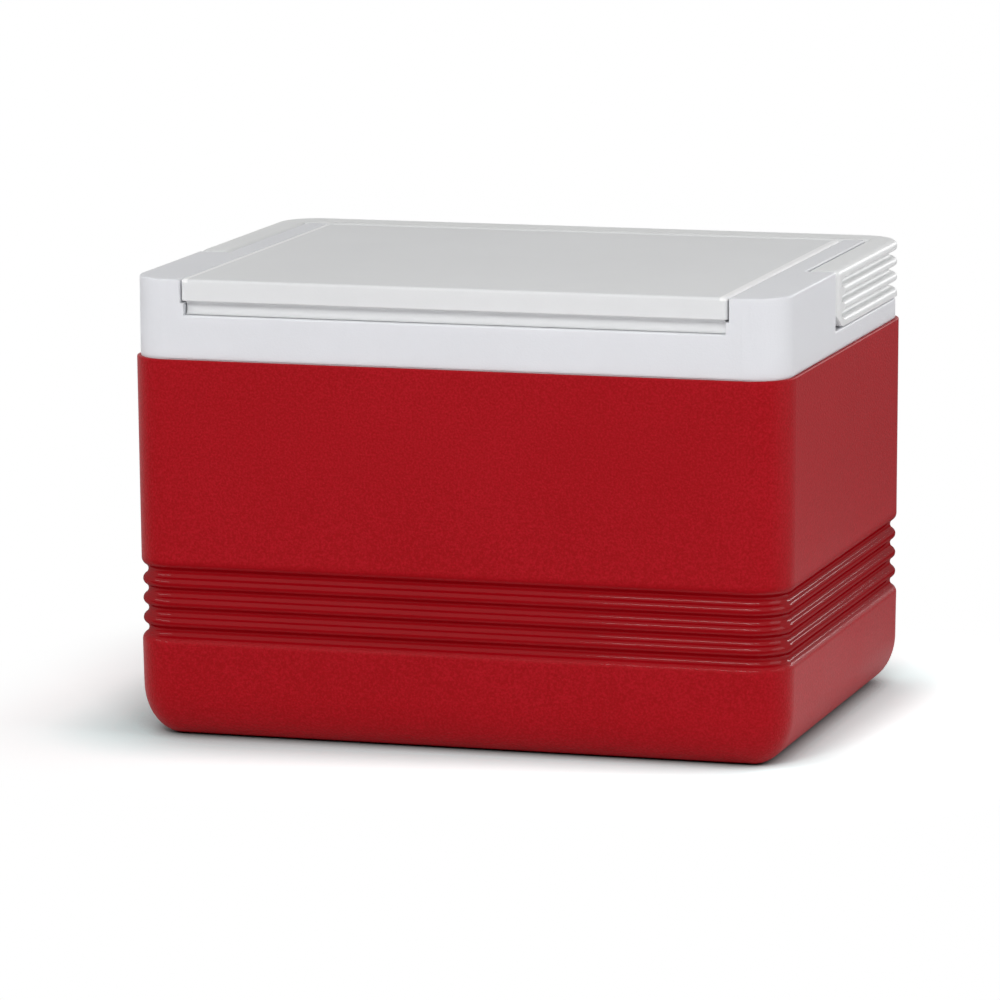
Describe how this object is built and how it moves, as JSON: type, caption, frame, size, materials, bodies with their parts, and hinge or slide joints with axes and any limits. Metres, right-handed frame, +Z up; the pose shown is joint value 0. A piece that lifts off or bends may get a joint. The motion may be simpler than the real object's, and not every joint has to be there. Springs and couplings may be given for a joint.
{
  "type": "personal cooler box",
  "caption": "Hard-sided insulated cooler box for drink cans, with a ribbed waist, a rear-hinged lid with a finger pull and a ribbed swing-up bail handle.",
  "frame": {"origin": "centre of the base, on the surface the box stands on", "axes": "+Z up, -Y is the front with the finger pull, +X is the right side seen from the front"},
  "size_m": [0.337, 0.2534, 0.2316],
  "materials": {
    "shell_red": "pebbled matt moulded polyethylene",
    "collar_white": "cool white moulded polypropylene, fine satin",
    "lid_cream": "warm white moulded polypropylene, fine satin",
    "handle_cream": "warm white moulded polypropylene, smooth",
    "liner_white": "smooth white moulded lining",
    "foam": "rigid closed-cell insulating foam",
    "pin_nylon": "natural nylon",
    "plug_white": "moulded plastic plug"
  },
  "bodies": {
    "body": {"outer_shell": "shell_red", "body_foam": "foam", "liner": "liner_white", "rim_collar": "collar_white", "body_foam_plug": "plug_white", "lid_hinge_pin_left": "pin_nylon", "lid_hinge_pin_right": "pin_nylon", "handle_pivot_pin_left": "pin_nylon", "handle_pivot_pin_right": "pin_nylon"},
    "lid": {"lid_top": "lid_cream", "lid_foam": "foam", "lid_liner": "liner_white", "lid_foam_plug": "plug_white"},
    "handle": {"bail_handle": "handle_cream"}
  },
  "joints": [
    {"name": "lid_hinge", "type": "hinge", "parent": "body", "child": "lid", "pos_m": [0, 0.09805, 0.225], "axis": [-1, 0, 0], "range_deg": [0, 100]},
    {"name": "handle_pivot", "type": "hinge", "parent": "body", "child": "handle", "pos_m": [0, -0.006, 0.223], "axis": [1, 0, 0], "range_deg": [0, 90]}
  ]
}
